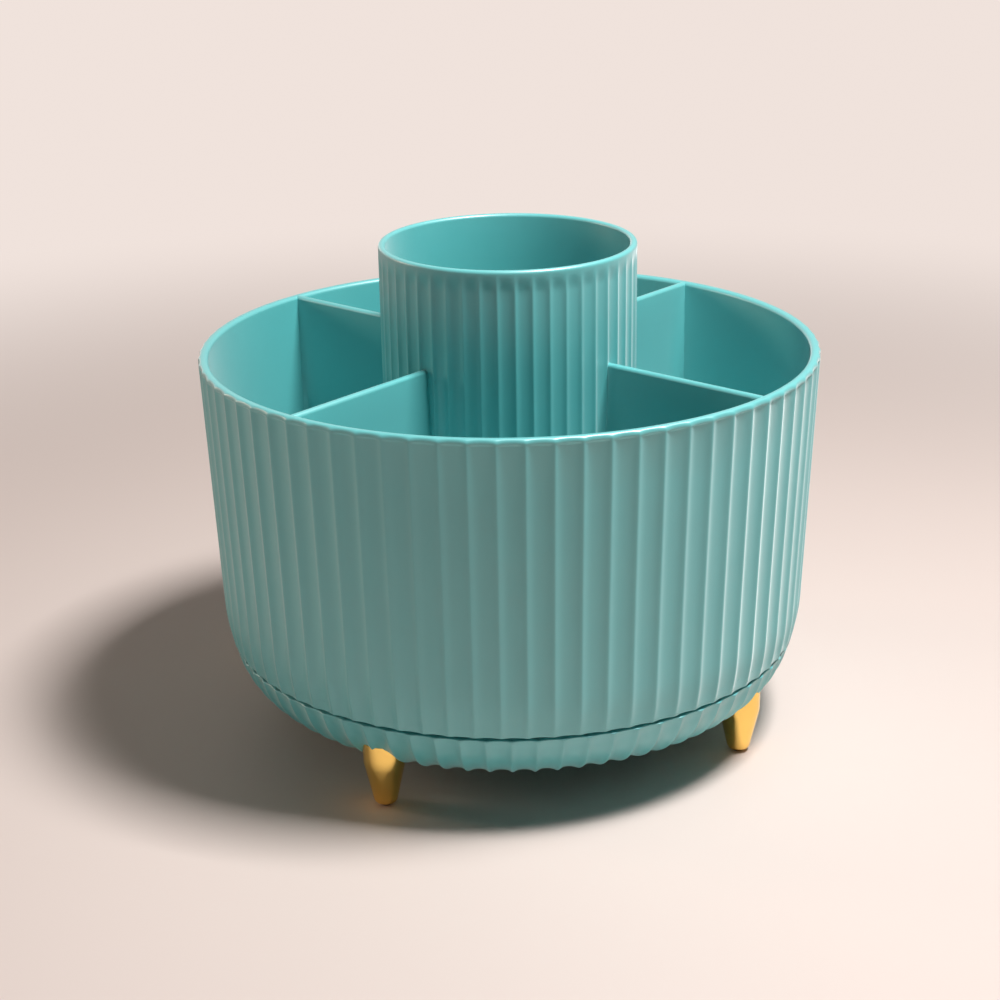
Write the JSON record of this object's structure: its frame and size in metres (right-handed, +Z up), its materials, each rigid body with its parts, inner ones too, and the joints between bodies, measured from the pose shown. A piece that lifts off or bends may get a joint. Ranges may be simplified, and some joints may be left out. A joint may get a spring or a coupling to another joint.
{
  "type": "rotating brush holder",
  "caption": "Round fluted tub with a taller central brush cup and dividers, turning endlessly on a ring of rollers over a shallow fluted dish on conical legs.",
  "frame": {"origin": "on the table, on the axis that the tub turns about, under the middle of the dish", "axes": "+Z up along the turning axis; the front of the object looks towards -Y; +X to the right"},
  "size_m": [0.1598, 0.1598, 0.129],
  "materials": {
    "teal_plastic": "satin",
    "gold": "polished",
    "pad": "matt",
    "nylon": "matt",
    "steel": "zinc plated"
  },
  "bodies": {
    "base": {"base_dish": "teal_plastic", "legs": "gold", "foot_pads": "pad", "pivot_bush": "nylon"},
    "roller_ring": {"roller_cage": "nylon", "rollers": "nylon"},
    "turntable": {"tub": "teal_plastic", "brush_cup": "teal_plastic", "divider_front_left": "teal_plastic", "divider_front_right": "teal_plastic", "divider_back_right": "teal_plastic", "divider_back_left": "teal_plastic", "pivot_screw": "steel", "pivot_washer": "steel"}
  },
  "joints": [
    {"name": "turntable_spin", "type": "hinge", "parent": "base", "child": "turntable", "pos_m": [0, 0, 0.0262], "axis": [0, 0, 1], "continuous": true},
    {"name": "roller_ring_spin", "type": "hinge", "parent": "base", "child": "roller_ring", "pos_m": [0, 0, 0.02275], "axis": [0, 0, 1], "continuous": true}
  ],
  "couplings": [
    {"joint": "roller_ring_spin", "follows": "turntable_spin", "ratio": 0.5}
  ]
}
